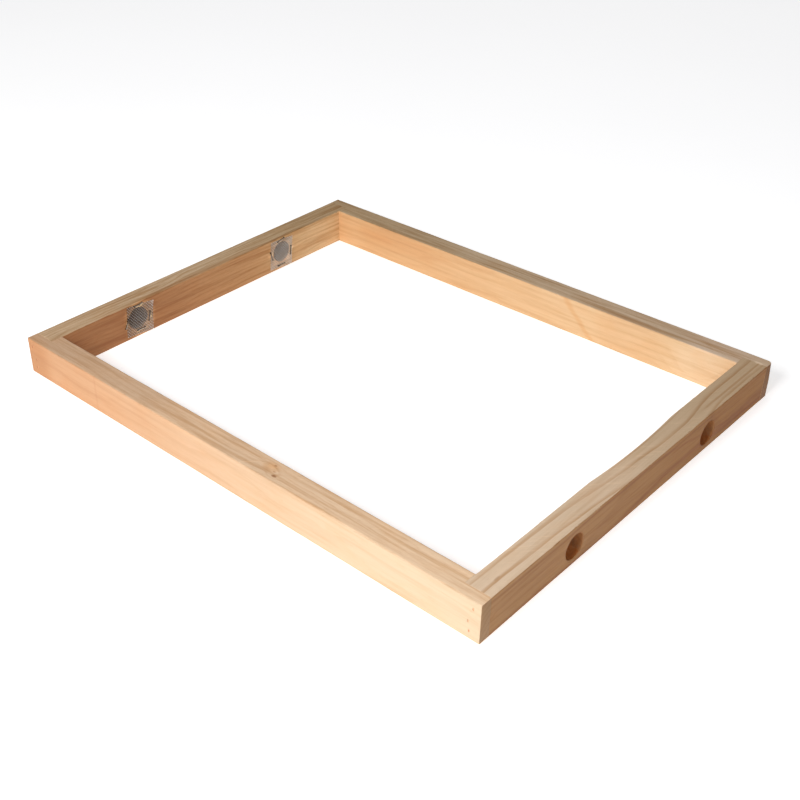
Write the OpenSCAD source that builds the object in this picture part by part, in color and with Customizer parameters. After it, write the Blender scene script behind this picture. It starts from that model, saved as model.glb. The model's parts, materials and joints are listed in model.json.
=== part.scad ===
// Hive rim: a rectangular frame of four wooden rails that sits between two hive boxes.
// The long rails are rabbeted over the ends of the short rails and held with brads.
// Each short rail has two vent holes, and a square of woven wire is stapled over each
// hole on the inside. The origin is the middle of the bottom face, with +Z up.

/* [Frame] */
// Outside length, along X
frame_l = 508; // [440:1:560]
// Outside width, along Y
frame_w = 406; // [360:1:460]
// Height of the rails, along Z
frame_h = 35; // [35:0.5:60]
// Thickness of the rails
rail_t = 22; // [20:0.5:26]

/* [Corner joints] */
// Thickness of the tongue of a long rail that covers the end of a short rail
tongue_t = 10.5; // [9:0.5:12]

/* [Vent holes] */
// Diameter of a vent hole
vent_d = 22; // [16:0.5:22]
// Distance between the centres of the two vent holes in a short rail
vent_gap = 190; // [140:1:240]
// Distance of the pair of vents from the middle of the rail, along it
vent_along = 1.7; // [0:0.1:5]
// Distance of the vents from the middle of the rail's height
vent_drop = 1.6; // [0:0.1:3]

/* [Edge dip] */
// Depth of the planed dip in the inner top edge of the right rail
dip_depth = 2.5; // [1:0.5:4]
// Length of the dip along the rail
dip_l = 120; // [60:5:160]
// Height of the dip's sloping face
dip_h = 6; // [3:0.5:10]
// Middle of the dip, along Y
dip_y = 14; // [-40:1:40]

/* [Wire screens] */
// Distance between the middles of the two screens on a short rail
screen_gap = 187.4; // [140:0.2:240]
// Distance of the pair of screens from the middle of the rail, along it
screen_along = 1; // [0:0.1:5]
// Distance between neighbouring wires
mesh_pitch = 1.5; // [1.5:0.1:2]
// Width of a wire
mesh_wire = 0.35; // [0.25:0.05:0.5]
// Openings along each side of a screen
mesh_count = 20; // [14:1:20]
// Thickness of the woven wire
screen_t = 0.6; // [0.4:0.1:1]
// Turn of each screen, seen from inside: left front, left back, right front, right back
screen_turns = [-5, -4, 4, -3]; // [-5:0.5:5]

/* [Staples] */
// Width across a staple's crown
staple_w = 10.4; // [9:0.1:12]
// Depth of a staple's legs below the face of the rail
staple_leg = 9; // [6:0.5:12]
// Width of the flat staple wire
staple_wire_w = 1.2; // [0.8:0.1:1.4]
// Thickness of the flat staple wire
staple_wire_t = 0.9; // [0.6:0.1:1.2]
// Tilts of the top, right, bottom and left staple of the left front screen
tilts_left_front = [6, -13, 1, -24]; // [-24:1:24]
// Tilts of the top, right, bottom and left staple of the left back screen
tilts_left_back = [13, -4, 2, 18]; // [-24:1:24]
// Tilts of the top, right, bottom and left staple of the right front screen
tilts_right_front = [-4, 9, 3, -6]; // [-24:1:24]
// Tilts of the top, right, bottom and left staple of the right back screen
tilts_right_back = [4, -10, -3, 12]; // [-24:1:24]

/* [Brads] */
// Length of a brad
brad_l = 32; // [25:1:38]
// Depth of a brad's head below the face of the rail
brad_sink = 0.4; // [0.2:0.1:1.5]
// Distances of the upper, middle and lower brad from the end of the rail
brad_insets = [6.5, 10, 9]; // [5:0.5:16]
// Heights of the upper, middle and lower brad
brad_heights = [28, 15.5, 7]; // [5:0.5:30]

/* [Hidden] */
$fn = 96;
SIDES = ["left", "right"];
ENDS = ["front", "back"];
EDGES = ["top", "right", "bottom", "left"];
LEVELS = ["upper", "middle", "lower"];
WOOD = ["#f3c795", "#eec08e", "#c99a68", "#a97a50"];

rabbet_depth = rail_t - tongue_t;
short_l = frame_w - 2 * tongue_t;
inner_x = frame_l / 2 - rail_t;
screen_w = mesh_count * mesh_pitch + mesh_wire;
tilts = [[tilts_left_front, tilts_left_back], [tilts_right_front, tilts_right_back]];

// Middles of the top, right, bottom and left staple, from the screen's own middle.
// The vents sit high in the left rail and low in the right one, and the staples follow.
spots_left_front = [[-0.3, 15.2], [11.1, -1.2], [0.2, -10.8], [-15.7, 0.3]];
spots_left_back = [[-0.2, 15], [13.5, -1.2], [-0.7, -12.8], [-14.2, 1]];
spots_right_front = [[-1, 12.2], [13.2, -1.2], [-1.5, -15], [-15, 1]];
spots_right_back = [[-1, 12.2], [12.2, -1.2], [-1.5, -15], [-16, 1]];
spots = [[spots_left_front, spots_left_back], [spots_right_front, spots_right_back]];

// Brad: a flat wire with a T-shaped head and a chisel point
brad_w = 1.25;
brad_t = 1.0;
head_w = 2.2;
head_t = 1.1;
point_l = 2.5;
cut = 1;

// -1 for the first name of a pair and +1 for the second
function side_sign(i) = 2 * i - 1;

// Puts children on the inner face of a short rail, at a point along it and a height:
// X along the rail, Y up and Z out of the face, as seen by someone inside the frame.
module on_inner_face(side, along, height) {
    translate([side_sign(side) * inner_x, along, height])
        rotate([90, 0, -90 * side_sign(side)])
            children();
}

// Both short rails are drilled alike, and the left one is turned upside down.
module at_vent(side, end) {
    turned = side_sign(side);
    along = side_sign(end) * vent_gap / 2 + turned * vent_along;
    on_inner_face(side, along, frame_h / 2 - turned * vent_drop)
        children();
}

module at_screen(side, end) {
    along = side_sign(end) * screen_gap / 2 + side_sign(side) * screen_along;
    on_inner_face(side, along, frame_h / 2)
        children();
}

// Puts children on the outer face of a long rail at a brad: X up, Y out of the face.
module at_brad(end, side, level) {
    x = side_sign(side) * (frame_l / 2 - brad_insets[level]);
    translate([x, side_sign(end) * frame_w / 2, brad_heights[level]])
        rotate([0, -90, end == 0 ? 180 : 0])
            children();
}

// Outline of a brad, head up, with its top brad_sink below the origin.
module brad_outline() {
    top = -brad_sink;
    neck = top - head_t;
    tip = top - brad_l;
    polygon([
        [-head_w / 2, top], [head_w / 2, top], [head_w / 2, neck + 0.4],
        [brad_w / 2, neck], [brad_w / 2, tip + point_l], [0.2, tip], [-0.2, tip],
        [-brad_w / 2, tip + point_l], [-brad_w / 2, neck], [-head_w / 2, neck + 0.4]
    ]);
}

module brad_shape() {
    linear_extrude(brad_t, center = true)
        brad_outline();
}

// The hole that a brad leaves: its own shape and the pocket above its head.
module brad_hole() {
    brad_shape();
    translate([-head_w / 2, -brad_sink - 0.01, -brad_t / 2])
        cube([head_w, brad_sink + cut, brad_t]);
}

// Outline of a staple: a crown over the screen and two chisel-pointed legs.
module staple_outline() {
    half = staple_w / 2;
    top = screen_t + staple_wire_t;
    bend = 1.1;
    difference() {
        polygon([
            [-half, -staple_leg], [-half, top], [half, top], [half, -staple_leg],
            [half - staple_wire_t, -staple_leg + 1], [half - staple_wire_t, screen_t],
            [-half + staple_wire_t, screen_t], [-half + staple_wire_t, -staple_leg + 1]
        ]);
        for (s = [-1, 1])
            translate([s * (half - bend), top - bend])
                difference() {
                    translate([s > 0 ? 0 : -bend - cut, 0])
                        square(bend + cut);
                    circle(bend);
                }
    }
}

module staple_shape() {
    rotate([90, 0, 0])
        linear_extrude(staple_wire_w, center = true)
            staple_outline();
}

// A staple in its place on a screen.
module placed_staple(side, end, edge) {
    upright = edge % 2 == 1 ? 90 : 0;
    at_screen(side, end)
        translate(spots[side][end][edge])
            rotate(upright + tilts[side][end][edge])
                staple_shape();
}

module long_rail_blank() {
    difference() {
        translate([-frame_l / 2, 0, 0])
            cube([frame_l, rail_t, frame_h]);
        for (s = [-1, 1])
            translate([s * (frame_l / 2 - rail_t / 2 + cut / 2), rail_t + cut / 2, frame_h / 2])
                translate([0, -(rabbet_depth + cut) / 2, 0])
                    cube([rail_t + cut, rabbet_depth + cut, frame_h + 2 * cut], center = true);
    }
}

// A long rail: end 0 is the front one and end 1 the back one.
module long_rail(end) {
    difference() {
        rotate(end == 0 ? 0 : 180)
            translate([0, -frame_w / 2, 0])
                long_rail_blank();
        for (side = [0, 1], level = [0:2])
            at_brad(end, side, level)
                brad_hole();
    }
}

// The dip is one side of a large round cutter that leans over the edge.
module edge_dip() {
    lean = atan(dip_depth / dip_h);
    r = dip_l * dip_l / (8 * dip_depth * cos(lean));
    translate([inner_x + dip_depth, dip_y, frame_h])
        rotate([0, lean, 0])
            translate([-r, 0, 0])
                cylinder(h = 6 * dip_h, r = r, center = true, $fn = 720);
}

// A short rail: side 0 is the left one and side 1 the right one.
module short_rail(side) {
    difference() {
        translate([side_sign(side) * (frame_l - rail_t) / 2, 0, frame_h / 2])
            cube([rail_t, short_l, frame_h], center = true);
        for (end = [0, 1]) {
            at_vent(side, end)
                translate([0, 0, -rail_t - cut])
                    cylinder(h = rail_t + 2 * cut, d = vent_d);
            for (edge = [0:3])
                placed_staple(side, end, edge);
            for (level = [0:2])
                at_brad(end, side, level)
                    brad_shape();
        }
        if (side == 1)
            edge_dip();
    }
}

module front_rail() {
    color(WOOD[0]) long_rail(0);
}

module back_rail() {
    color(WOOD[1]) long_rail(1);
}

module left_rail() {
    color(WOOD[2]) short_rail(0);
}

module right_rail() {
    color(WOOD[3]) short_rail(1);
}

// The woven wire as a flat grid, open between its wires.
module mesh_grid() {
    gap = mesh_pitch - mesh_wire;
    first = mesh_wire - screen_w / 2;
    linear_extrude(screen_t)
        difference() {
            square(screen_w, center = true);
            for (i = [0:mesh_count - 1], j = [0:mesh_count - 1])
                translate([first + i * mesh_pitch, first + j * mesh_pitch])
                    square(gap);
        }
}

module screen(side, end) {
    color("#a9a39a")
        difference() {
            at_screen(side, end)
                rotate(screen_turns[2 * side + end])
                    mesh_grid();
            for (edge = [0:3])
                placed_staple(side, end, edge);
        }
}

module staple(side, end, edge) {
    color("#8d8a86") placed_staple(side, end, edge);
}

module brad(end, side, level) {
    color("#c08a6a")
        at_brad(end, side, level)
            brad_shape();
}

front_rail();
back_rail();
left_rail();
right_rail();
for (s = [0, 1], e = [0, 1])
    screen(s, e);
for (s = [0, 1], e = [0, 1], g = [0:3])
    staple(s, e, g);
for (e = [0, 1], s = [0, 1], v = [0:2])
    brad(e, s, v);
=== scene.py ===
"""Looks for the hive rim: a frame of four wooden rails with two screened vents in each short rail.

Every rail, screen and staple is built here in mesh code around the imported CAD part. Rails and
vents take their sizes and places from it, screens and staples repeat its values, and brads keep
their CAD solids. Lengths in this file are millimetres unless a name or a comment says metres.
"""
import json
import math

import bmesh
import bpy
from mathutils import Matrix, Vector, noise


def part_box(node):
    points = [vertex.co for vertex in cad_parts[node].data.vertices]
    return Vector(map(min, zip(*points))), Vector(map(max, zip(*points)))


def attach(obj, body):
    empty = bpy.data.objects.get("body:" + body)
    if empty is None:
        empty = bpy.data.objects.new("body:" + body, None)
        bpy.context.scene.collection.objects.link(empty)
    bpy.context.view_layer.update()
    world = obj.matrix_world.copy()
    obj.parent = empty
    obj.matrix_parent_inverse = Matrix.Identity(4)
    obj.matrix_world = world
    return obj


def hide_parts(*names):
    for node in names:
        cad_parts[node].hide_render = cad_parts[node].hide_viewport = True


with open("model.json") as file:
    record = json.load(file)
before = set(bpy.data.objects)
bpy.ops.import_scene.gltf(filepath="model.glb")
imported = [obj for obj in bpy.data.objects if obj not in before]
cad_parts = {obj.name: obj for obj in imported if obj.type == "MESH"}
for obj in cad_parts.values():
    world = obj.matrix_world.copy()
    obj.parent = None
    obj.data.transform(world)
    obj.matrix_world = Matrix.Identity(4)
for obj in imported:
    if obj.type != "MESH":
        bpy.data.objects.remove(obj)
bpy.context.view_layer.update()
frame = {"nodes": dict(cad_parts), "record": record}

MM = 0.001

# ------------------------------ camera, light and floor

# Places in metres, in the part's frame
CAMERA_AT = (0.5719, -0.6703, 0.5637)
CAMERA_AIM = (-0.0193, -0.0555, 0.0)
CAMERA_ROLL = -0.83
LENS = 52.86
SHIFT_X = 0.0852
SHIFT_Y = 0.0006
FAR = 50            # where the camera stops seeing
LIGHT_AT = (0.2, -1.3, 0.98)
LIGHT_AIM = (0.1, -0.1, 0)
LIGHT_SIZE = 0.5
LIGHT_WATTS = 19
HORIZON, HORIZON_Z = (0.5, 0.5, 0.5), 0.1  # the dome's colours: one below this height,
ZENITH, ZENITH_Z = (0.3, 0.3, 0.31), 0.75  # and the other above this one


def look_at(place, aim, roll=0.0):
    """World matrix of something at place whose -Z axis points at aim."""
    away = Vector(place) - Vector(aim)
    turn = away.to_track_quat("Z", "Y").to_matrix().to_4x4()
    return Matrix.Translation(place) @ turn @ Matrix.Rotation(math.radians(roll), 4, "Z")


def add_camera():
    data = bpy.data.cameras.new("camera")
    data.lens = LENS
    data.shift_x = SHIFT_X
    data.shift_y = SHIFT_Y
    data.clip_end = FAR
    camera = bpy.data.objects.new("camera", data)
    camera.matrix_world = look_at(CAMERA_AT, CAMERA_AIM, CAMERA_ROLL)
    bpy.context.collection.objects.link(camera)
    bpy.context.scene.camera = camera


def add_light():
    data = bpy.data.lights.new("key", "AREA")
    data.size = LIGHT_SIZE
    data.energy = LIGHT_WATTS
    light = bpy.data.objects.new("key", data)
    light.matrix_world = look_at(LIGHT_AT, LIGHT_AIM)
    bpy.context.collection.objects.link(light)


def add_world():
    """A dome that goes from its horizon colour to its zenith colour."""
    world = bpy.data.worlds.new("studio")
    world.use_nodes = True
    tree = world.node_tree
    place = tree.nodes.new("ShaderNodeTexCoord")
    split = tree.nodes.new("ShaderNodeSeparateXYZ")
    ramp = tree.nodes.new("ShaderNodeValToRGB")
    low, high = ramp.color_ramp.elements
    low.position, low.color = HORIZON_Z, (*HORIZON, 1)
    high.position, high.color = ZENITH_Z, (*ZENITH, 1)
    tree.links.new(place.outputs["Generated"], split.inputs[0])
    tree.links.new(split.outputs["Z"], ramp.inputs[0])
    tree.links.new(ramp.outputs["Color"], tree.nodes["Background"].inputs["Color"])
    bpy.context.scene.world = world


# ------------------------------ material graphs

class Signal:
    """One value inside a material. Arithmetic on it adds Math nodes."""

    def __init__(self, graph, socket):
        self.graph = graph
        self.socket = socket

    def __add__(self, other):
        return self.graph.math("ADD", self, other)

    def __sub__(self, other):
        return self.graph.math("SUBTRACT", self, other)

    def __mul__(self, other):
        return self.graph.math("MULTIPLY", self, other)

    def __truediv__(self, other):
        return self.graph.math("DIVIDE", self, other)

    def __pow__(self, other):
        return self.graph.math("POWER", self, other)

    def __abs__(self):
        return self.graph.math("ABSOLUTE", self)

    def inverse(self):
        return self.graph.math("SUBTRACT", 1, self)

    def fraction(self):
        return self.graph.math("FRACT", self)

    def larger(self, other):
        return self.graph.math("MAXIMUM", self, other)

    def smaller(self, other):
        return self.graph.math("MINIMUM", self, other)


class Graph:
    """Builds one procedural material around its Principled shader."""

    def __init__(self, name):
        self.material = bpy.data.materials.new(name)
        self.material.use_nodes = True
        self.tree = self.material.node_tree
        self.shader = self.tree.nodes["Principled BSDF"]

    def node(self, kind, inputs, **settings):
        made = self.tree.nodes.new(kind)
        for key, value in settings.items():
            setattr(made, key, value)
        for key, value in inputs.items():
            self.feed(made.inputs[key], value)
        return made

    def feed(self, socket, value):
        if isinstance(value, Signal):
            self.tree.links.new(value.socket, socket)
        else:
            socket.default_value = value

    def math(self, operation, *values):
        made = self.node("ShaderNodeMath", dict(enumerate(values)), operation=operation)
        return Signal(self, made.outputs[0])

    def attribute(self, name, output):
        made = self.node("ShaderNodeAttribute", {}, attribute_name=name)
        return Signal(self, made.outputs[output])

    def position(self):
        made = self.node("ShaderNodeTexCoord", {})
        return Signal(self, made.outputs["Object"])

    def split(self, vector):
        made = self.node("ShaderNodeSeparateXYZ", {0: vector})
        return [Signal(self, made.outputs[i]) for i in range(3)]

    def join(self, x, y, z):
        made = self.node("ShaderNodeCombineXYZ", {0: x, 1: y, 2: z})
        return Signal(self, made.outputs[0])

    def facing(self, axis):
        """How far the surface faces along a world axis, from -1 to 1."""
        normal = self.node("ShaderNodeNewGeometry", {}).outputs["Normal"]
        dot = self.node(
            "ShaderNodeVectorMath",
            {0: Signal(self, normal), 1: axis},
            operation="DOT_PRODUCT",
        )
        return Signal(self, dot.outputs["Value"])

    def noise(self, vector, detail=2.0, roughness=0.5, distortion=0.0):
        """Smooth noise from 0 to 1; the vector already holds the scale."""
        made = self.node(
            "ShaderNodeTexNoise",
            {"Vector": vector, "Scale": 1.0, "Detail": detail, "Roughness": roughness,
             "Distortion": distortion},
        )
        return Signal(self, made.outputs[0])

    def cells(self, vector):
        """Distance to the nearest of many scattered points."""
        made = self.node("ShaderNodeTexVoronoi", {"Vector": vector, "Scale": 1.0})
        return Signal(self, made.outputs["Distance"])

    def rise(self, value, low, high, to_low=0.0, to_high=1.0):
        """Smooth step from to_low to to_high while value goes from low to high."""
        made = self.node(
            "ShaderNodeMapRange",
            {0: value, 1: low, 2: high, 3: to_low, 4: to_high},
            interpolation_type="SMOOTHSTEP",
        )
        return Signal(self, made.outputs[0])

    def curve(self, value, points):
        """A smooth curve through (input, output) points, all from 0 to 1."""
        made = self.node("ShaderNodeFloatCurve", {"Value": value})
        line = made.mapping.curves[0]
        for x, y in points[1:-1]:
            line.points.new(x, y)
        line.points[0].location = points[0]
        line.points[-1].location = points[-1]
        made.mapping.update()
        return Signal(self, made.outputs[0])

    def mix(self, factor, a, b, blend="MIX"):
        made = self.node(
            "ShaderNodeMix", {0: factor, 6: a, 7: b}, data_type="RGBA", blend_type=blend
        )
        return Signal(self, made.outputs[2])

    def tint(self, base, amount, shade):
        """Multiplies the base colour by shade, as far as amount says."""
        return self.mix(amount, base, (*shade, 1.0), "MULTIPLY")

    def bump(self, height, depth):
        """Bump from a height of 0 to 1 that stands for depth millimetres."""
        made = self.node("ShaderNodeBump", {"Height": height, "Distance": depth * MM})
        self.tree.links.new(made.outputs[0], self.shader.inputs["Normal"])


def colour(red, green, blue):
    """Linear colour with alpha, from sRGB values of 0 to 255."""
    linear = [
        c / 255 / 12.92 if c <= 10 else ((c / 255 + 0.055) / 1.055) ** 2.4
        for c in (red, green, blue)
    ]
    return (*linear, 1.0)


# ------------------------------ places on the part

class RailPlace:
    """Rail coordinates in mm: u along the rail, v out from its inner face, w up."""

    def __init__(self, node, along, outward):
        low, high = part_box(node)
        self.along = Vector(along)
        self.outward = Vector(outward)
        self.origin = Vector((
            high.x if outward[0] < 0 else low.x,
            high.y if outward[1] < 0 else low.y,
            low.z,
        ))
        size = (high - low) / MM
        self.length = size.x if along[0] else size.y
        self.thick = size.y if along[0] else size.x
        self.high = size.z

    def world(self, u, v, w):
        return self.origin + (self.along * u + self.outward * v + Vector((0, 0, w))) * MM

    def local(self, point):
        offset = (Vector(point) - self.origin) / MM
        return Vector((offset.dot(self.along), offset.dot(self.outward), offset.z))


PLACES = {
    "front": RailPlace("front_rail", (1, 0, 0), (0, -1, 0)),
    "back": RailPlace("back_rail", (1, 0, 0), (0, 1, 0)),
    "left": RailPlace("left_rail", (0, 1, 0), (-1, 0, 0)),
    "right": RailPlace("right_rail", (0, 1, 0), (1, 0, 0)),
}
SIDES = ("left", "right")
ENDS = ("front", "back")
EDGES = ("top", "right", "bottom", "left")
LEVELS = ("upper", "middle", "lower")
SHARP_ANGLE = 42    # degrees
VENTS = {
    mount["name"].removeprefix("vent_"): mount
    for mount in frame["record"]["mounts"]
    if mount["name"].startswith("vent_")
}


def screen_matrix(key):
    """Frame of a screen on the rail's inner face: X along, Y up, Z out of the face."""
    mount = VENTS[key]
    out = -Vector(mount["axis"])
    up = Vector((0, 0, 1))
    low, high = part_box(f"screen_{key}")
    centre = (low + high) / 2
    centre.x = mount["pos_m"][0] + out.x * mount["dims"]["length_mm"] / 2 * MM
    turn = Matrix((up.cross(out), up, out)).transposed().to_4x4()
    return Matrix.Translation(centre) @ turn @ Matrix.Scale(MM, 4)


def link_mesh(bm, name):
    """Turns a bmesh into an object at the origin."""
    bmesh.ops.recalc_face_normals(bm, faces=bm.faces)
    mesh = bpy.data.meshes.new(name)
    bm.to_mesh(mesh)
    bm.free()
    piece = bpy.data.objects.new(name, mesh)
    bpy.context.collection.objects.link(piece)
    return piece


def smooth(piece):
    piece.data.shade_smooth()
    piece.data.set_sharp_from_angle(angle=math.radians(SHARP_ANGLE))


def own(piece, nodes, material):
    """Gives a piece its material, puts it under the root body and hides the CAD nodes that it
    stands for.
    """
    piece.data.materials.clear()
    piece.data.materials.append(material)
    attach(piece, "root")
    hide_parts(*nodes)


# ------------------------------ rails

RAIL_SEED = 11.0
CELL = 1.4          # spacing of the rail meshes
EDGE = 0.7          # radius of the long edges
END_EDGE = 0.5      # radius at the ends of a long rail
JOINT_EDGE = 0.15   # radius at the ends of a short rail, inside the corner joints
JOINT_LENGTH = 11.5
JOINT_FIT = 0.2     # share of the wear and of the rounding that is left inside a joint
FOOT_FIT = 0.45     # share of the rounding that the bottom edges keep
KNOCK = 4.0         # rounding of the back right corner, which has been knocked
KNOCK_REACH = 20
KNOCK_SLICES = 7
ARC_STEPS = 4
WAVE = 0.18         # how far the faces wander inward
WAVE_ALONG, WAVE_ACROSS = 0.011, 0.03      # waves per mm
RUB, RUB_BASE, RUB_WAVES = 0.3, 0.15, 0.03   # broad wear of the edges
CHIP, CHIP_LIMIT, CHIP_WAVES = 1.1, 0.42, 0.22
RIMS = {"left": 0.15, "right": 0.6}  # rounding of a vent's rim
RIM_STEPS = 6
BORE_RINGS = 9
BORE_MARGIN = 3.5   # how far past a vent the square remeshed around it may reach
BLENDS = (0.35, 0.7)  # rings between that square and the rim
TEAR, TEAR_WAVES = 0.12, 6  # roughness of the bores
SPLINTER = {"left": 1.8, "right": 0.0}  # torn wood that the drill left at its exit
SPLINTER_TURN = -0.755  # radians
SPLINTER_LENGTH = 5
SPLINTER_SHARP = 12
BRAD_GAP = (0.12, 0.15)  # room in the pocket over a brad: beside it, and above or below it
BRAD_BACK = 0.08    # how far that pocket goes in past the brad's outer end
CLEAR = 1           # how far a cutter reaches past the wood
DIP_DEPTH, DIP_LENGTH, DIP_HEIGHT = 2.5, 120, 6
DIP_Y = 0.014       # metres, in the part's frame


def spread(low, high):
    """Evenly spaced values from low to high, about CELL apart."""
    steps = round((high - low) / CELL)
    return [low + (high - low) * k / steps for k in range(steps + 1)]


def section(thick, high):
    """Points round a rail's section: (v, w, normal v, normal w, how far into an edge)."""
    across, upward = spread(EDGE, thick - EDGE), spread(EDGE, high - EDGE)
    sides = [
        [(thick, w, 1, 0, 0) for w in upward],
        [(v, high, 0, 1, 0) for v in reversed(across)],
        [(0, w, -1, 0, 0) for w in reversed(upward)],
        [(v, 0, 0, -1, 0) for v in across],
    ]
    middles = [(thick - EDGE, high - EDGE), (EDGE, high - EDGE), (EDGE, EDGE), (thick - EDGE, EDGE)]
    ring = []
    for corner, (side, (mv, mw)) in enumerate(zip(sides, middles)):
        ring += side
        for k in range(1, ARC_STEPS):
            turn = math.radians(90 * (corner + k / ARC_STEPS))
            nv, nw = math.cos(turn), math.sin(turn)
            depth = math.sin(math.pi * k / ARC_STEPS)
            ring.append((mv + EDGE * nv, mw + EDGE * nw, nv, nw, depth))
    return ring, len(upward), len(upward) + len(across) + 2 * (ARC_STEPS - 1)


def stations(length, end_edge):
    """Places along a rail with the inset of its rounded ends: (u, inset)."""
    arc = []
    for k in range(1, ARC_STEPS + 1):
        turn = math.radians(90 * k / ARC_STEPS)
        arc.append((end_edge * (1 - math.cos(turn)), end_edge * (1 - math.sin(turn))))
    middle = [(u, 0) for u in spread(end_edge, length - end_edge)][1:-1]
    return arc + middle + [(length - u, inset) for u, inset in reversed(arc)]


def dip_shift(u, w, high, dip_u):
    """How far the planed dip pushes the inner face outward."""
    away = (u - dip_u) / (DIP_LENGTH / 2)
    return max(0.0, DIP_DEPTH * (1 - away * away) - (high - w) * DIP_DEPTH / DIP_HEIGHT)


def wear(u, nv, nw, depth, seed):
    """How far an edge is worn or chipped inward."""
    edge = 3.1 * nv + 7.7 * nw + seed  # sets each edge apart in the noise
    rubbed = max(0.0, noise.noise(Vector((u * RUB_WAVES, edge, 0))) + RUB_BASE) * RUB
    chip = max(0.0, noise.noise(Vector((u * CHIP_WAVES, edge, 9))) - CHIP_LIMIT) * CHIP
    return depth * (rubbed + chip)


def knock_corner(piece, place):
    """Turns in the outer face at the far end of a rail, most of all at the top."""
    tongue = place.thick - JOINT_LENGTH
    bm = bmesh.new()
    bm.from_mesh(piece.data)
    for k in range(1, KNOCK_SLICES):
        bmesh.ops.bisect_plane(
            bm,
            geom=bm.verts[:] + bm.edges[:] + bm.faces[:],
            plane_co=place.world(0, place.thick - tongue * k / KNOCK_SLICES, 0),
            plane_no=place.outward,
        )
    bm.to_mesh(piece.data)
    bm.free()
    for vert in piece.data.vertices:
        u, v, w = place.local(vert.co)
        radius = KNOCK * max(0.0, 1 - (place.high - w) / KNOCK_REACH)
        away = min(radius, max(0.0, radius - (place.length - u)))
        turned = radius - math.sqrt(radius * radius - away * away)
        share = max(0.0, (v - JOINT_LENGTH) / tongue)
        vert.co = place.world(u, v - turned * share, w)


def bore(bm, verts, spans, place, shape):
    """Opens a round vent between the outer and the inner face of a rail."""
    (i0, i1), (k0, k1), inner_end = spans
    cu, cw, radius, rounding, splinter = shape
    path = [(i, k0) for i in range(i0, i1)] + [(i1, k) for k in range(k0, k1)]
    path += [(i, k1) for i in range(i1, i0, -1)] + [(i0, k) for k in range(k1, k0, -1)]
    outer = [verts[i][k] for i, k in path]
    inner = [verts[i][inner_end - k] for i, k in path]
    turns = [math.atan2(place.local(v.co).z - cw, place.local(v.co).x - cu) for v in outer]

    def ring(reach, v):
        made = []
        for turn in turns:
            around = Vector((TEAR_WAVES * math.cos(turn), TEAR_WAVES * math.sin(turn), v))
            torn = max(0.0, math.cos(turn - SPLINTER_TURN)) ** SPLINTER_SHARP
            torn *= splinter * max(0.0, 1 - (place.thick - v) / SPLINTER_LENGTH)
            r = reach + TEAR * noise.noise(around) - torn
            point = place.world(cu + r * math.cos(turn), v, cw + r * math.sin(turn))
            made.append(bm.verts.new(point))
        return made

    def blend(loop, face_v, share):
        made = []
        for vert, turn in zip(loop, turns):
            start = place.local(vert.co)
            r = radius + rounding
            goal = Vector((cu + r * math.cos(turn), face_v, cw + r * math.sin(turn)))
            made.append(bm.verts.new(place.world(*start.lerp(goal, share))))
        return made

    sink = WAVE / 2
    rim = []
    for n in range(RIM_STEPS + 1):
        turn = math.radians(90 * n / RIM_STEPS)
        rim.append((rounding * (1 - math.sin(turn)), rounding * (1 - math.cos(turn))))
    rings = [outer] + [blend(outer, place.thick - sink, share) for share in BLENDS]
    rings += [ring(radius + out, place.thick - sink - deep) for out, deep in rim]
    for k in range(1, BORE_RINGS):
        share = k / BORE_RINGS
        depth = sink + rounding + (place.thick - 2 * sink - 2 * rounding) * share
        rings.append(ring(radius, place.thick - depth))
    rings += [ring(radius + out, sink + deep) for out, deep in reversed(rim)]
    rings += [blend(inner, sink, share) for share in reversed(BLENDS)] + [inner]
    for a, b in zip(rings, rings[1:]):
        for n in range(len(turns)):
            m = (n + 1) % len(turns)
            bm.faces.new((a[n], a[m], b[m], b[n]))


def cut_boxes(piece, boxes):
    """Cuts boxes, given by their low and high corners in metres, out of a piece."""
    bm = bmesh.new()
    for low, high in boxes:
        for vert in bmesh.ops.create_cube(bm, size=1)["verts"]:
            vert.co = Vector([
                (low[a] + high[a]) / 2 + vert.co[a] * (high[a] - low[a]) for a in range(3)
            ])
    cutter = link_mesh(bm, "cutter")
    cut = piece.modifiers.new("cut", "BOOLEAN")
    cut.operation = "DIFFERENCE"
    cut.solver = "EXACT"
    cut.object = cutter
    graph = bpy.context.evaluated_depsgraph_get()
    mesh = bpy.data.meshes.new_from_object(piece.evaluated_get(graph))
    piece.modifiers.clear()
    piece.data = mesh
    bpy.data.objects.remove(cutter)


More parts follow.
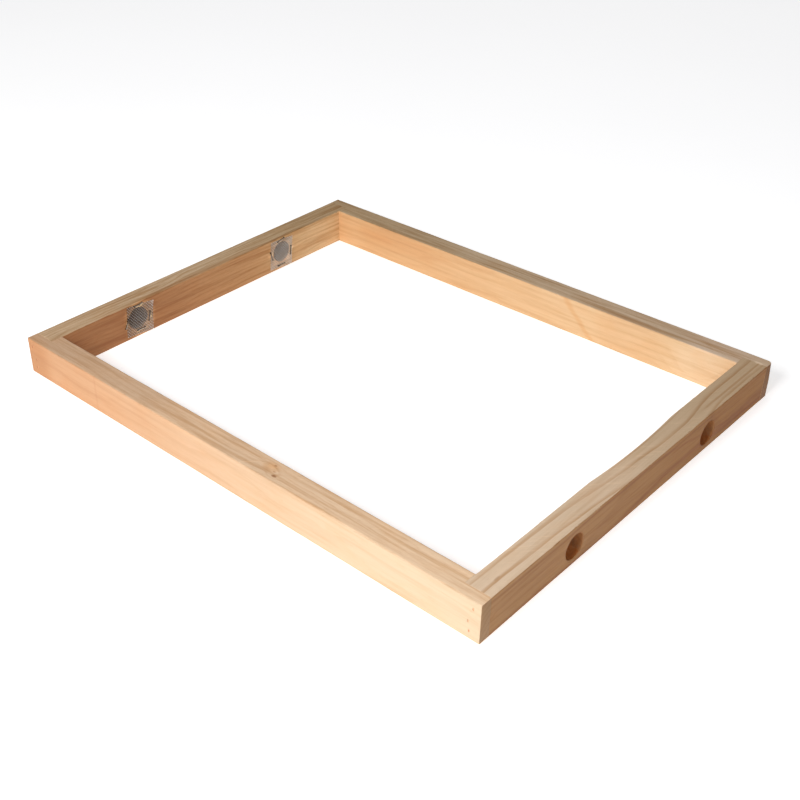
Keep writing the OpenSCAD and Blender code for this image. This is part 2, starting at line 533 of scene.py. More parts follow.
def build_rail(name, seed):
    """A rail with worn edges; a short one has its vents and the right one its dip."""
    place = PLACES[name]
    ring, n_up, inner_start = section(place.thick, place.high)
    short = name in SIDES
    stops = stations(place.length, JOINT_EDGE if short else END_EDGE)
    dip_u = place.local((0, DIP_Y, 0)).x if name == "right" else None
    bm = bmesh.new()
    verts = []
    for u, inset in stops:
        row = []
        joined = short and min(u, place.length - u) < JOINT_LENGTH
        for v, w, nv, nw, depth in ring:
            if dip_u is not None:
                shift = dip_shift(u, w, place.high, dip_u)
                v = shift + v * (place.thick - shift) / place.thick
            wander = noise.noise(Vector((u * WAVE_ALONG, v * WAVE_ACROSS, w * WAVE_ACROSS + seed)))
            flat = inset + WAVE * (0.5 + 0.5 * wander) * (JOINT_FIT if joined and nv <= 0 else 1)
            kept = 1.0
            if depth and joined and nv < 0:
                kept = JOINT_FIT
            elif depth and nw < 0:
                kept = FOOT_FIT
            back = flat + wear(u, nv, nw, depth, seed) * kept
            corner_v = place.thick - flat if nv > 0 else flat
            corner_w = place.high - flat if nw > 0 else flat
            row.append(bm.verts.new(place.world(
                u,
                corner_v * (1 - kept) + (v - nv * back) * kept,
                corner_w * (1 - kept) + (w - nw * back) * kept,
            )))
        verts.append(row)

    bores = []
    for key, mount in VENTS.items():
        if key.startswith(name):
            centre = place.local(mount["pos_m"])
            reach = mount["dims"]["r_mm"] + BORE_MARGIN
            us = [i for i, (u, _) in enumerate(stops) if abs(u - centre.x) <= reach]
            ks = [k for k in range(n_up) if abs(ring[k][1] - centre.z) <= reach]
            spans = ((us[0], us[-1]), (ks[0], ks[-1]), inner_start + n_up - 1)
            shape = (centre.x, centre.z, mount["dims"]["r_mm"], RIMS[name], SPLINTER[name])
            bores.append((spans, shape))

    def open_cell(i, j):
        return any(
            i0 <= i < i1 and (k0 <= j < k1 or inner_end - k1 <= j < inner_end - k0)
            for ((i0, i1), (k0, k1), inner_end), _ in bores
        )

    count = len(ring)
    for i in range(len(stops) - 1):
        for j in range(count):
            if not open_cell(i, j):
                m = (j + 1) % count
                bm.faces.new((verts[i][j], verts[i][m], verts[i + 1][m], verts[i + 1][j]))
    for spans, shape in bores:
        bore(bm, verts, spans, place, shape)
    for row in (verts[0], verts[-1]):
        bm.faces.new(row)
    return link_mesh(bm, f"rail_{name}")


def joint_cuts(end):
    """Boxes to cut from a long rail: its two rabbets and the pockets over its brads."""
    clear = CLEAR * MM
    grow = Vector((BRAD_GAP[0], 0, BRAD_GAP[1])) * MM
    back = BRAD_BACK * MM
    boxes = []
    for side in SIDES:
        low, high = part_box(f"{side}_rail")
        low, high = low - Vector((0, 0, clear)), high + Vector((0, 0, clear))
        if side == "left":
            low.x -= clear
        else:
            high.x += clear
        if end == "front":
            high.y = 0
        else:
            low.y = 0
        boxes.append((low, high))
    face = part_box(f"{end}_rail")[0 if end == "front" else 1].y
    for side in SIDES:
        for level in LEVELS:
            low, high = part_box(f"brad_{end}_{side}_{level}")
            low, high = low - grow, high + grow
            if end == "front":
                low.y, high.y = face - clear, low.y + back
            else:
                low.y, high.y = high.y - back, face + clear
            boxes.append((low, high))
    return boxes


def mark_rail(piece, name):
    """Stores the rail coordinates on the mesh, for the grain."""
    layer = piece.data.attributes.new("rail_mm", "FLOAT_VECTOR", "POINT")
    for vert, value in zip(piece.data.vertices, layer.data):
        value.vector = PLACES[name].local(vert.co)
    smooth(piece)


# ------------------------------ wood

# Shades that multiply the colour of the wood
DARK_STREAK = (0.78, 0.66, 0.52)
PALE_STREAK = (1.14, 1.16, 1.2)
FIBRE_SHADE = (0.86, 0.78, 0.68)
THREAD_SHADE = (0.86, 0.8, 0.72)
SCRATCH_SHADE = (1.2, 1.2, 1.2)
FLECK_SHADE = (0.72, 0.5, 0.36)
SCORCH_SHADE = (0.7, 0.6, 0.5)
END_RING_SHADE = (0.7, 0.6, 0.52)
PORE_SHADE = (0.66, 0.58, 0.5)
RUB_SHADE = (0.78, 0.7, 0.6)
SEED_STEP = 31.7    # shift of the noise from one seed to the next
KNOT_SQUEEZE = 0.35  # stretches a knot's pull along the rail
SCORCH_WIDTH = 2.2  # reach of the scorched wood around a vent's rim
RAGGED = 0.8        # how much the fibres fray the outline of a spot
SPECULAR = 0.32


class Wood(Graph):
    """Graph for the wood of one rail, with the shares and patterns that its colours use.

    Noise scales are per millimetre, along the grain and then across it.
    """

    def __init__(self, name):
        super().__init__(f"wood_{name}")
        self.name = name
        self.look = WOODS[name]
        self.place = PLACES[name]
        self.u, self.v, self.w = self.split(self.attribute("rail_mm", "Vector"))
        self.v_seed = self.v + self.look["seed"] * SEED_STEP
        self.bored, self.scorched = self.vent_shares()
        self.top = self.rise(abs(self.facing((0, 0, 1))), 0.55, 0.8)
        if self.bored is not None:
            self.top = self.top * self.bored.inverse()
        self.end = self.rise(abs(self.facing(self.place.along)), 0.6, 0.85)
        self.outer = self.rise(self.facing(self.place.outward), -0.3, 0.3)
        grain = self.look["fibre"]
        self.wobble = self.grain_noise(0.035, 0.1, 2.0)
        self.fibre = self.grain_noise(grain * 0.05, grain, 3.0, 0.6)
        self.thread = self.grain_noise(0.16, 3.5, 2.0)
        self.blotch = self.grain_noise(0.02, 0.05, 2.0, 0.6, 0.6)

    def grain_noise(self, along, across, *settings):
        place = self.join(self.u * along, self.v_seed * across, self.w * across)
        return self.noise(place, *settings)

    def by_face(self, key):
        """A value that the look gives as (on the sides, on the top and bottom)."""
        side, top = self.look[key]
        return self.top * top + self.top.inverse() * side

    def vent_shares(self):
        """Shares of the inside of the vents and of the scorched wood around their rims."""
        bored = scorched = None
        for key, mount in VENTS.items():
            if key.startswith(self.name):
                centre = self.place.local(mount["pos_m"])
                radius = mount["dims"]["r_mm"]
                du, dw = self.u - centre.x, self.w - centre.z
                reach = (du * du + dw * dw) ** 0.5
                hole = self.rise(reach, radius + 0.25, radius - 0.05)
                scorch = self.rise(reach, radius + SCORCH_WIDTH, radius + 0.5)
                bored = hole if bored is None else bored + hole
                scorched = scorch if scorched is None else scorched + scorch
        return bored, scorched

    def growth_rings(self):
        """Late wood, and how dark it is drawn, from 0 to 1. The field s counts mm across rings."""
        look = self.look
        warp = self.grain_noise(0.011, 0.03, 1.0)
        s = self.v * look["slope"][0] + self.w * look["slope"][1] + (warp - 0.5) * look["warp"]
        s = s + (self.wobble - 0.5) * look["wobble"]
        for start, stop, shift in look["drift"]:
            s = s + self.rise(self.u, start, stop, 0, shift)
        for ku, kv, kw, reach, push in look["knots"]:
            du, dv, dw = self.u - ku, self.v - kv, self.w - kw
            near = (du * du * KNOT_SQUEEZE + dv * dv + dw * dw) ** 0.5
            s = s + self.rise(near, 0, reach, push, 0)
        marks = look["marks"]
        if marks:
            low, high = marks[0], marks[-1]
            last = len(marks) - 1
            steps = [((mark - low) / (high - low), n / last) for n, mark in enumerate(marks)]
            count = self.curve((s - low) / (high - low), steps) * last
        else:
            count = s / look["spacing"]
        phase = count.fraction()
        late = self.rise(phase, look["late"], 0.93) * self.rise(phase, 0.95, 1.0, 1, 0)
        band = self.noise(self.join(count * 0.8, self.u * 0.012, look["seed"]), 1.0)
        return late, late * self.rise(band, 0.25, 0.7, 0.35, 1)

    def scratches(self):
        """Saw and planer marks, in patches, for the top and bottom."""
        cosine, sine = self.look["saw_turn"]
        slant = self.u * cosine + self.v * sine
        cross = self.u * sine - self.v * cosine
        seed = self.look["seed"]
        scratch = self.noise(self.join(slant * 0.9, cross * 0.035, seed), 3.0, 0.7)
        patch = self.noise(self.join(self.u * 0.03, self.v * 0.12, seed + 4), 1.0)
        return self.rise(scratch, 0.5, 0.78) * self.rise(patch, 0.35, 0.65)

    def face_colour(self):
        """Plain colour of each face, which changes from the rail's start to its far end. It is
        partly the wood's own tone and partly painted light: the light's fall-off along the rail and
        the lighter or darker faces as the light falls on them.
        """
        share = self.rise(self.u, 0, self.place.length)
        tones = self.look["tones"]
        inner, outer, top = (self.mix(share, *tones[key]) for key in ("in", "out", "top"))
        return self.mix(self.top, self.mix(self.outer, inner, outer), top)

    def add_fibres(self, paint):
        """Lengthwise streaks at three scales, and broad blotches."""
        vivid = self.by_face("streaks")
        streak = self.grain_noise(0.012, 0.28, 2.0)
        paint = self.tint(paint, self.rise(streak, 0.46, 0.72) * vivid, DARK_STREAK)
        paint = self.tint(paint, self.rise(streak, 0.52, 0.25) * vivid * 0.7, PALE_STREAK)
        paint = self.tint(paint, self.rise(self.fibre, 0.5, 0.75) * vivid, FIBRE_SHADE)
        paint = self.tint(paint, self.rise(self.thread, 0.45, 0.75) * vivid, THREAD_SHADE)
        return self.tint(paint, self.rise(self.blotch, 0.45, 0.7) * 0.5, self.look["blotch"])

    def add_flecks(self, paint):
        """Short reddish flecks."""
        fleck = self.cells(self.join(self.u * 0.07, self.v_seed * 0.45, self.w * 0.45))
        fleck = self.rise(fleck, 0.14, 0.05) * self.rise(self.blotch, 0.45, 0.55)
        return self.tint(paint, fleck * self.look["flecks"], FLECK_SHADE)

    def add_spots(self, paint):
        """Knots, stains and patches that this rail alone has; some spots are painted light or
        painted shade.
        """
        ragged = (self.fibre - 0.5) * RAGGED
        for ku, kv, kw, size, amount, shade in self.look["spots"]:
            du = (self.u - ku) / size[0]
            dv = (self.v - kv) / size[1]
            dw = (self.w - kw) / size[2]
            near = (du * du + dv * dv + dw * dw) ** 0.5 + ragged
            paint = self.tint(paint, self.rise(near, 1.0, 0.45) * amount, shade)
        return paint

    def add_bands(self, paint):
        """Dark bands that lean across the inner side."""
        face = self.top.inverse() * self.outer.inverse()
        height = self.w / self.place.high
        for start, lean, bend, width, amount, shade in self.look["bands"]:
            middle = height * lean + height * height * bend + start
            near = abs(self.u - middle + (self.wobble - 0.5) * 6) / width
            paint = self.tint(paint, self.rise(near, 1.0, 0.1) * amount * face, shade)
        return paint

    def add_arches(self, paint):
        """Long arches of dark grain on the outer side."""
        face = self.top.inverse() * self.outer
        for height, left, right, width, amount, shade in self.look["arches"]:
            foot, top, drop = left
            climb = self.rise(self.u, foot, top, -drop, 0)
            top, foot, drop = right
            fall = self.rise(self.u, top, foot, 0, drop)
            near = abs(self.w - (climb - fall + height) + (self.wobble - 0.5) * 3) / width
            paint = self.tint(paint, self.rise(near, 1.0, 0.1) * amount * face, shade)
        return paint

    def end_pattern(self):
        """Rings and pores of the end grain."""
        dv, dw = self.v - self.look["pith"][0], self.w - self.look["pith"][1]
        turns = (dv * dv + dw * dw) ** 0.5 / self.look["spacing"]
        phase = (turns + (self.wobble - 0.5) * 1.2).fraction()
        rings = self.rise(phase, 0.3, 0.92) * self.rise(phase, 0.94, 1.0, 1, 0)
        pores = self.cells(self.join(self.v * 1.6, self.w * 1.6, self.u))
        return rings, self.rise(pores, 0.42, 0.12)

    def add_vents(self, paint):
        """Scorched rims, and wood inside the vents that bore_shade darkens, with rough ribs: partly
        the wood's own colour, partly painted shade of the bore.
        """
        if self.bored is None:
            return paint
        paint = self.tint(paint, self.scorched * 0.25, SCORCH_SHADE)
        ribs = self.noise(self.join(self.v * 0.8, self.u * 0.25, self.w * 0.25), 3.0)
        ribs = self.rise(ribs, 0.3, 0.7, 0.7, 1.0)
        return self.tint(paint, self.bored * ribs, self.look["bore_shade"])

    def rubbed(self):
        """Share of the long edges that handling has darkened."""
        to_side = self.v.smaller(self.v * -1 + self.place.thick).larger(0)
        to_flat = self.w.smaller(self.w * -1 + self.place.high).larger(0)
        edge = self.rise(to_side.larger(to_flat), 1.5, 0.35)
        patch = self.noise(self.join(self.u * 0.06, self.v * 0.2, self.w * 0.2), 3.0)
        return edge * self.rise(patch, 0.42, 0.7)


def wood(name):
    """Material of one rail."""
    g = Wood(name)
    late, rings = g.growth_rings()
    strength = g.by_face("rings")
    scratch = g.scratches() * g.top
    end_rings, pores = g.end_pattern()

    paint = g.add_fibres(g.face_colour())
    paint = g.tint(paint, rings * strength, g.look["late_shade"])
    paint = g.tint(paint, scratch * g.look["saw"], SCRATCH_SHADE)
    paint = g.add_flecks(paint)
    paint = g.add_spots(paint)
    paint = g.add_bands(paint)
    paint = g.add_arches(paint)
    end_paint = g.tint(g.look["tones"]["end"], end_rings * 0.3, END_RING_SHADE)
    end_paint = g.tint(end_paint, pores * 0.3, PORE_SHADE)
    paint = g.mix(g.end, paint, end_paint)
    paint = g.add_vents(paint)
    paint = g.tint(paint, g.rubbed() * 0.55, RUB_SHADE)

    g.feed(g.shader.inputs["Base Color"], paint)
    g.feed(g.shader.inputs["Roughness"], g.fibre * 0.22 + 0.5 + g.top * 0.08 + g.end * 0.1)
    g.shader.inputs["Specular IOR Level"].default_value = SPECULAR
    relief = g.fibre * 0.5 + g.thread * 0.25 + late * strength * 0.35
    relief = relief + scratch * 0.5 + g.end * (pores * -0.6 + end_rings * 0.4)
    g.bump(relief, g.look["relief"])
    return g.material


# A look holds, with lengths in mm along (u), out from the inner face (v) and up (w):
#   slope, warp, wobble   how the growth rings lie and how far they wander
#   drift                 (start, stop, shift): the rings move over between two places
#   knots                 (u, v, w, reach, push): the rings swerve around a knot
#   marks or spacing      the places of the rings, or their even distance
#   saw_turn, saw         direction of the saw marks (cosine, sine) and their strength
#   streaks, rings        strengths on the sides and on the top
#   spots                 (u, v, w, size along each, amount, shade), some of them painted light or shade
#   bands                 (u at the bottom, lean, bend, width, amount, shade), inner side
#   arches                (height, left (foot, top, drop), right (top, foot, drop), width,
#                         amount, shade), outer side
#   tones                 colours at the rail's start and far end, and one for both ends, partly painted light and shade
# PALE holds what most of the rails share.
PALE = {
    "warp": 10.0,
    "wobble": 2.0,
    "drift": [],
    "knots": [],
    "marks": [],
    "spacing": 5.0,
    "late": 0.45,
    "saw_turn": (0.7, 0.7),
    "saw": 0.7,
    "fibre": 0.9,
    "blotch": (1.0, 0.93, 0.85),
    "rings": (0.2, 0.35),
    "late_shade": (0.75, 0.6, 0.46),
    "flecks": 0.25,
    "bands": [],
    "arches": [],
    "pith": (-20.0, -30.0),
    "bore_shade": (1.13, 0.8, 0.42),
    "relief": 0.12,
}

WOODS = {
    "front": dict(
        PALE,
        seed=1.3,
        slope=(0.9, 0.25),
        streaks=(0.25, 0.7),
        knots=[(298, 9, 35, 10, 5.0), (309, 16, 35, 6, -4.0)],
        tones={
            "out": (colour(200, 151, 110), colour(213, 188, 157)),
            "in": (colour(226, 170, 120), colour(232, 190, 145)),
            "top": (colour(207, 172, 139), colour(242, 209, 173)),
            "end": colour(162, 126, 89),
        },
        spots=[
            (309.5, 16, 35, (2.8, 1.7, 4), 0.85, (0.5, 0.34, 0.24)),
            (301.5, 6, 35, (1.6, 1.1, 4), 0.7, (0.6, 0.44, 0.32)),
            (306, 12, 35, (1.8, 1.0, 4), 0.6, (0.66, 0.48, 0.36)),
            (300, 9, 35, (10, 7, 4), 0.6, (0.9, 0.74, 0.56)),
            (300, 8.5, 35, (5, 3, 4), 0.6, (1.14, 1.1, 1.02)),
            # Partly painted shade for the light falling off toward the left end of the outer face,
            # partly the wood's darker tone there.
            (2, 22, 12, (34, 8, 30), 0.6, (0.88, 0.78, 0.68)),
            (97, 22, 17, (1.6, 4, 60), 0.35, (0.9, 0.78, 0.7)),
            # Partly painted shade for the light falling off toward the left end of the outer face,
            # partly the wood's darker tone there.
            (4, 22, 17, (34, 8, 60), 0.7, (0.92, 0.86, 0.78)),
            (211, 11, 35, (50, 40, 4), 0.8, (1.09, 1.08, 1.06)),
        ],
    ),
    "back": dict(
        PALE,
        seed=2.6,
        slope=(0.6, 0.5),
        drift=[(10, 210, -7)],
        knots=[(452, 0, 10, 26, 9.0)],
        streaks=(0.35, 1.0),
        fibre=0.6,
        tones={
            "out": (colour(222, 176, 130), colour(224, 180, 136)),
            "in": (colour(213, 166, 117), colour(222, 188, 146)),
            "top": (colour(191, 164, 127), colour(214, 187, 157)),
            # Painted shade: this end tone is darker because the end lies in shade; both ends share
            # it.
            "end": colour(137, 95, 58),
        },
        bands=[(347, -42, 7, 6.0, 0.5, (0.92, 0.72, 0.52))],
        spots=[
            (500.3, 12, 35, (5.5, 1.7, 3), 0.9, (1.3, 1.36, 1.42)),
            (110, 0, 24, (70, 8, 14), 0.7, (0.94, 0.84, 0.75)),
            # Painted light: lightens the left end of the inner face against the shade near the left
            # corner.
            (30, 0, 17, (34, 8, 50), 0.7, (1.07, 1.13, 1.22)),
            (215, 11, 35, (60, 40, 4), 0.8, (1.1, 1.14, 1.2)),
            (465, 11, 35, (40, 40, 4), 0.8, (1.08, 1.09, 1.15)),
            (385, 0, 17, (46, 8, 50), 0.7, (0.95, 0.88, 0.82)),
            (452, 0, 12, (30, 8, 40), 0.7, (1.05, 1.1, 1.2)),
        ],
    ),
    "left": dict(
        PALE,
        seed=4.1,
        slope=(0.75, 0.8),
        spacing=3.4,
        warp=14.0,
        wobble=3.0,
        rings=(0.45, 0.8),
        streaks=(0.85, 1.2),
        fibre=0.55,
        # Painted shade: the vents in this rail are drawn dark inside, as the bore lies in shade.
        bore_shade=(0.5, 0.42, 0.36),
        spots=[
            # Painted light: these two lighten the wood under the screens to offset the wires'
            # shadows.
            (97.8, 0, 17.5, (20, 4, 24), 1.0, (2.4, 3.1, 4.1)),
            (285.2, 0, 17.5, (19, 4, 20), 1.0, (2.0, 2.3, 2.9)),
            # Painted highlights: these nine are bright glints on the wood beside the staples.
            (99.5, 0, 30.8, (6.5, 4, 1.3), 1.0, (2.2, 3.0, 3.6)),
            (111.2, 0, 16, (1.2, 4, 5), 1.0, (2.2, 3.2, 4.0)),
            (104, 0, 5, (2, 4, 1.2), 1.0, (2.2, 3.0, 3.6)),
            (94.5, 0, 5, (2, 4, 1.2), 1.0, (2.2, 3.0, 3.6)),
            (82.5, 0, 17, (1.3, 4, 3.5), 1.0, (2.2, 3.2, 4.0)),
            (272.6, 0, 20, (1.3, 4, 3.5), 1.0, (1.8, 2.2, 2.6)),
            (300.5, 0, 16, (1.2, 4, 5.5), 1.0, (1.8, 2.2, 2.4)),
            (289, 0, 5, (1.8, 4, 1.4), 1.0, (1.8, 2.2, 2.6)),
            (284.5, 0, 30.6, (4, 4, 1.1), 1.0, (1.7, 1.9, 1.9)),
            (175, 0, 17.5, (150, 8, 60), 0.9, (0.82, 0.68, 0.55)),
            (0.5, 11, 35, (1.3, 9, 3), 0.7, (1.18, 1.2, 1.2)),
            (200, 11, 35, (130, 60, 4), 0.8, (1.12, 1.18, 1.28)),
            (345, 0, 17, (40, 8, 60), 0.8, (1.03, 1.08, 1.18)),
        ],
        tones={
            "out": (colour(190, 146, 102), colour(192, 150, 106)),
            "in": (colour(164, 112, 68), colour(216, 179, 131)),
            "top": (colour(205, 175, 140), colour(190, 159, 118)),
            "end": colour(168, 134, 104),
        },
    ),
    "right": dict(
        PALE,
        seed=6.4,
        slope=(1.0, 0.15),
        warp=3.0,
        wobble=1.6,
        drift=[(60, 235, -10), (250, 325, 7)],
        marks=[-26, -21, -16, -11, -6, -1, 10.25, 21.25, 34],
        late=0.68,
        rings=(0.35, 0.95),
        streaks=(0.55, 0.35),
        saw_turn=(0.62, -0.78),
        saw=1.0,
        tones={
            "out": (colour(167, 122, 73), colour(151, 98, 31)),
            "in": (colour(206, 160, 116), colour(200, 150, 106)),
            "top": (colour(229, 202, 172), colour(200, 171, 136)),
            "end": colour(168, 134, 104),
        },
        spots=[
            (17.5, 13, 35, (4.5, 1.1, 4), 0.4, (0.6, 0.48, 0.38)),
            (385, 14.3, 35, (1.7, 5.5, 3), 1.0, (1.36, 1.46, 1.6)),
            (345, 14.5, 35, (75, 1.4, 4), 0.7, (0.76, 0.6, 0.46)),
            (205, 3.5, 35, (60, 1.2, 4), 0.5, (0.8, 0.66, 0.54)),
            (160, 11, 35, (45, 40, 4), 0.8, (1.07, 1.07, 1.09)),
        ],
        arches=[
            (9.5, (140, 235, 9), (265, 400, 5), 4.0, 0.85, (0.84, 0.68, 0.56)),
            (32, (60, 150, 2), (200, 345, 22), 2.2, 0.75, (0.85, 0.72, 0.62)),
            (18, (1, 8, 3), (60, 200, 6), 2.4, 0.55, (0.85, 0.74, 0.64)),
            (31, (20, 120, 6), (260, 300, 1), 2.0, 0.5, (0.86, 0.74, 0.64)),
        ],
    ),
}


# ------------------------------ wire parts

def sweep(bm, path, profile, up):
    """Sweeps a closed profile of (side, up) offsets along a path of points."""
    loops = []
    for n, point in enumerate(path):
        ahead = path[min(n + 1, len(path) - 1)] - path[max(n - 1, 0)]
        ahead.normalize()
        side = up.cross(ahead).normalized()
        rise = ahead.cross(side)
        loops.append([bm.verts.new(point + side * a + rise * b) for a, b in profile(n)])
    size = len(loops[0])
    for a, b in zip(loops, loops[1:]):
        for n in range(size):
            m = (n + 1) % size
            bm.faces.new((a[n], a[m], b[m], b[n]))
    bm.faces.new(loops[0])
    bm.faces.new(loops[-1])


SCREEN_SEED = 3.0
PITCH = 1.5         # spacing of the wires
COUNT = 20          # openings along each side
WIRE_R = 0.15
SCREEN_T = 0.6
FRAY = 0.45         # how far the wires' ends stick out
SWAY, SWAY_WAVES = 0.16, 0.13  # wander of single wires in the plane of the screen
STEPS_PER_OPENING = 4
WIRE_SIDES = 6
CROSSING_SHADE = -0.4  # painted shade on the wires that cross the others, in parts of a crest's painted highlight
LIFT_GLINT = 0.8   # painted glint: how much brighter the wire is painted for each mm that it stands off
LIFT_START = 0.55   # where the corners start to stand off, in parts of the way to them
# Turn of each screen in degrees, seen from inside
TURNS = {"left_front": -5, "left_back": -4, "right_front": 4, "right_back": -3}
# How far the screen's corners stand off the wood: top right, top left, bottom left, bottom right
LIFTS = {
    "left_front": (1.3, 0.3, 0.2, 0.5),
    "left_back": (0.3, 0.5, 0.3, 0.2),
    "right_front": (0.2, 0.3, 0.2, 0.3),
    "right_back": (0.2, 0.3, 0.3, 0.2),
}
# Painted light on each screen's wire: its middle value, how far the painted highlights on the
# crests go above that and the painted shade in the troughs below it, and its rise from the screen's
# middle to the bottom right corner, a painted shade that darkens the upper left
PAINTED_WIRE_LIGHT = {
    "left_front": (-0.12, 1.1, 0.5),
    "left_back": (0.2, 0.45, 0.3),
    "right_front": (0.0, 0.6, 0.0),
    "right_back": (0.0, 0.6, 0.0),
}


def build_screen(key, seed):
    """Plain-woven wires that pass over and under each other."""
    half = COUNT * PITCH / 2
    crimp = SCREEN_T / 2 - WIRE_R
    signs = ((1, 1), (-1, 1), (-1, -1), (1, -1))
    bm = bmesh.new()

    def stand_off(x, y):
        lift = 0.0
        for (sx, sy), amount in zip(signs, LIFTS[key]):
            near = max(0.0, (sx * x + sy * y) / (2 * half) - LIFT_START) / (1 - LIFT_START)
            lift += amount * near * near
        return lift

    level, swing, slope = PAINTED_WIRE_LIGHT[key]
    steps = COUNT * STEPS_PER_OPENING
    polish = []
    for turned in (False, True):
        for i in range(COUNT + 1):
            base = i * PITCH - half
            sign = (-1 if turned else 1) * (-1) ** i
            path = []
            for n in range(-2, steps + 3):
                along = min(max(n / STEPS_PER_OPENING * PITCH, -FRAY), 2 * half + FRAY) - half
                sway = SWAY * noise.noise(Vector((along * SWAY_WAVES, i * 0.9, seed + 5 * turned)))
                x, y = (base + sway, along) if turned else (along, base + sway)
                wave = math.cos(math.pi * (along + half) / PITCH)
                z = SCREEN_T / 2 + sign * crimp * wave + stand_off(x, y)
                path.append(Vector((x, y, z)))
                # Painted light: highlights on the crests, shade in the troughs and on the crossing
                # wires, a shade gradient across the screen, and a glint where a corner stands off
                shine = level + swing * (CROSSING_SHADE if turned else sign * wave)
                shine += slope * (x - y) / (2 * half) + LIFT_GLINT * stand_off(x, y)
                polish += [shine] * WIRE_SIDES
            turns = [2 * math.pi * k / WIRE_SIDES for k in range(WIRE_SIDES)]
            hexagon = [(WIRE_R * math.cos(a), WIRE_R * math.sin(a)) for a in turns]
            sweep(bm, path, lambda n: hexagon, Vector((0, 0, 1)))
    turn = Matrix.Rotation(math.radians(TURNS[key]), 4, "Z")
    bmesh.ops.transform(bm, matrix=screen_matrix(key) @ turn, verts=bm.verts)
    piece = link_mesh(bm, f"screen_wire_{key}")
    layer = piece.data.attributes.new("polish", "FLOAT", "POINT")
    layer.data.foreach_set("value", polish)
    smooth(piece)
    return piece


STAPLE_W, STAPLE_LEG = 10.4, 9.0
STAPLE_WIDE, STAPLE_THICK = 1.2, 0.9
STAPLE_BEND = 0.65
STAPLE_SAG = 0.1    # how far the middle of the crown sinks
STAPLE_ROUND = 0.25  # rounding of the wire's edges, in parts of its thickness
POINT_THIN, POINT_ROUND = 0.25, 0.05  # a chisel point's thickness, in parts, and its rounding
# Middle of each staple from its screen's middle, and its tilt in degrees: top, right, bottom, left
STAPLE_SPOTS = {
    "left_front": ((-0.3, 15.2), (11.1, -1.2), (0.2, -10.8), (-15.7, 0.3)),
    "left_back": ((-0.2, 15), (13.5, -1.2), (-0.7, -12.8), (-14.2, 1)),
    "right_front": ((-1, 12.2), (13.2, -1.2), (-1.5, -15), (-15, 1)),
    "right_back": ((-1, 12.2), (12.2, -1.2), (-1.5, -15), (-16, 1)),
}
STAPLE_TILTS = {
    "left_front": (6, -13, 1, -24),
    "left_back": (13, -4, 2, 18),
    "right_front": (-4, 9, 3, -6),
    "right_back": (4, -10, -3, 12),
}


def build_staple(key, edge):
    """A staple bent from flat wire with rounded corners and chisel points."""
    half = (STAPLE_W - STAPLE_THICK) / 2
    top = SCREEN_T + STAPLE_THICK / 2
    leg = [Vector((-half, 0, z)) for z in (-STAPLE_LEG, -STAPLE_LEG + 1, -4, top - STAPLE_BEND)]
    for k in range(1, 6):
        turn = math.radians(18 * k)
        leg.append(Vector((
            -half + STAPLE_BEND * (1 - math.cos(turn)),
            0,
            top - STAPLE_BEND * (1 - math.sin(turn)),
        )))
    path = list(leg)
    for x in (-0.6, -0.2, 0.2, 0.6):
        path.append(Vector((x * half, 0, top - STAPLE_SAG * (1 - x * x))))
    path += [Vector((-p.x, 0, p.z)) for p in reversed(leg)]
    tips = (0, len(path) - 1)

    def profile(n):
        wide, thick, round_off = STAPLE_WIDE / 2, STAPLE_THICK / 2, STAPLE_ROUND * STAPLE_THICK
        if n in tips:
            thick *= POINT_THIN
            round_off = POINT_ROUND
        points = []
        for sa, sb, start in ((1, 1, 0), (-1, 1, 90), (-1, -1, 180), (1, -1, 270)):
            for turn in (math.radians(start + 45 * k) for k in range(3)):
                points.append((
                    sb * (thick - round_off) + round_off * math.sin(turn),
                    sa * (wide - round_off) + round_off * math.cos(turn),
                ))
        return points

    bm = bmesh.new()
    sweep(bm, path, profile, Vector((0, 1, 0)))
    number = EDGES.index(edge)
    upright = 90 if edge in ("right", "left") else 0
    turn = Matrix.Rotation(math.radians(upright + STAPLE_TILTS[key][number]), 4, "Z")
    spot = Matrix.Translation((*STAPLE_SPOTS[key][number], 0))
    bmesh.ops.transform(bm, matrix=screen_matrix(key) @ spot @ turn, verts=bm.verts)
    piece = link_mesh(bm, f"staple_wire_{key}_{edge}")
    smooth(piece)
    return piece


# Tones of worn and of dirty metal
SCREEN_TONES = colour(254, 250, 242), colour(232, 222, 210)
STAPLE_TONES = colour(190, 172, 152), colour(96, 80, 66)
BRAD_TONES = colour(244, 176, 138), colour(218, 140, 104)
# Painted shade: the dark colour of the screens' troughs and crossing wires
SCREEN_SHADE = colour(58, 50, 44)
# Painted shade and painted reflection of the wood: the dark colour of the sides of the staples'
# crowns
STAPLE_SIDE_SHADE = colour(48, 38, 30)


def metal(name, tones, roughness, metallic):
    """Graph for drawn steel wire with dirty patches, and its colour."""
    g = Graph(name)
    x, y, z = g.split(g.position())
    fine = g.noise(g.join(x / MM * 1.3, y / MM * 1.3, z / MM * 1.3), 3.0)
    broad = g.noise(g.join(x / MM * 0.12, y / MM * 0.12, z / MM * 0.12), 2.0)
    dirt = g.rise(fine * 0.6 + broad * 0.6, 0.5, 0.75)
    g.feed(g.shader.inputs["Roughness"], dirt * 0.3 + roughness)
    g.shader.inputs["Metallic"].default_value = metallic
    g.bump(fine, 0.04)
    return g, g.mix(dirt, *tones)


def screen_metal():
    """Steel painted dark with shade, except where the mesh's polish value paints highlights on it.
    """
    g, paint = metal("screen_steel", SCREEN_TONES, 0.42, 0.25)
    lit_share = g.rise(g.attribute("polish", "Fac"), -1, 1)
    g.feed(g.shader.inputs["Base Color"], g.mix(lit_share, SCREEN_SHADE, paint))
    return g.material


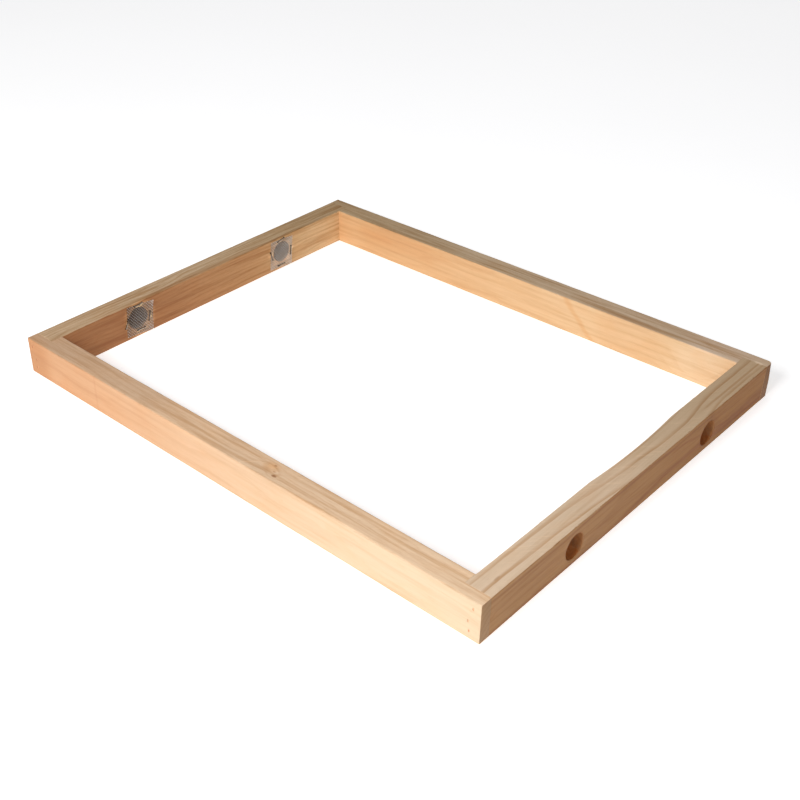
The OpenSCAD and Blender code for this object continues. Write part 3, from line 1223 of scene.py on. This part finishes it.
def staple_metal():
    """Steel whose crown sides are painted dark, as painted shade and painted reflection of the
    wood; only the fronts of the crowns keep the steel's tones.
    """
    g, paint = metal("staple_steel", STAPLE_TONES, 0.3, 0.7)
    front = g.rise(abs(g.facing((1, 0, 0))), 0.8, 0.98)
    g.feed(g.shader.inputs["Base Color"], g.mix(front, STAPLE_SIDE_SHADE, paint))
    return g.material


def brad_metal():
    g, paint = metal("brad_steel", BRAD_TONES, 0.5, 0.1)
    g.feed(g.shader.inputs["Base Color"], paint)
    return g.material


# ------------------------------ floor

FLOOR_SIZE = 30     # metres
FLOOR_Z = -0.0002   # metres
FLOOR_GLOW = 0.5    # a back-lit table: keeps the floor pale under the object
FLOOR_DARK, FLOOR_LIGHT = (0.93, 0.93, 0.93, 1), (0.97, 0.97, 0.97, 1)


def floor_material():
    g = Graph("floor_paper")
    x, y, _ = g.split(g.position())
    cloud = g.noise(g.join(x * 3, y * 3, 0), 3.0)
    g.feed(g.shader.inputs["Base Color"], g.mix(cloud, FLOOR_DARK, FLOOR_LIGHT))
    g.feed(g.shader.inputs["Roughness"], cloud * 0.1 + 0.75)
    g.shader.inputs["Emission Color"].default_value = (1, 1, 1, 1)
    g.shader.inputs["Emission Strength"].default_value = FLOOR_GLOW
    return g.material


def build_floor():
    bm = bmesh.new()
    bmesh.ops.create_grid(bm, x_segments=8, y_segments=8, size=FLOOR_SIZE / 2)
    for vert in bm.verts:
        vert.co.z = FLOOR_Z
    floor = link_mesh(bm, "floor")
    floor.data.materials.append(floor_material())


# ------------------------------ the model

for number, name in enumerate(PLACES):
    rail = build_rail(name, RAIL_SEED * (number + 1))
    if name in ENDS:
        cut_boxes(rail, joint_cuts(name))
    if name == "back":
        knock_corner(rail, PLACES[name])
    mark_rail(rail, name)
    own(rail, [f"{name}_rail"], wood(name))

screen_look = screen_metal()
staple_look = staple_metal()
brad_look = brad_metal()
for number, key in enumerate(VENTS):
    own(build_screen(key, SCREEN_SEED * number), [f"screen_{key}"], screen_look)
    for edge in EDGES:
        own(build_staple(key, edge), [f"staple_{key}_{edge}"], staple_look)
for end in ENDS:
    for side in SIDES:
        for level in LEVELS:
            brad = frame["nodes"][f"brad_{end}_{side}_{level}"]
            for slot in brad.material_slots:
                slot.material = brad_look

build_floor()
add_world()
add_light()
bpy.context.scene.view_settings.view_transform = "Standard"
add_camera()
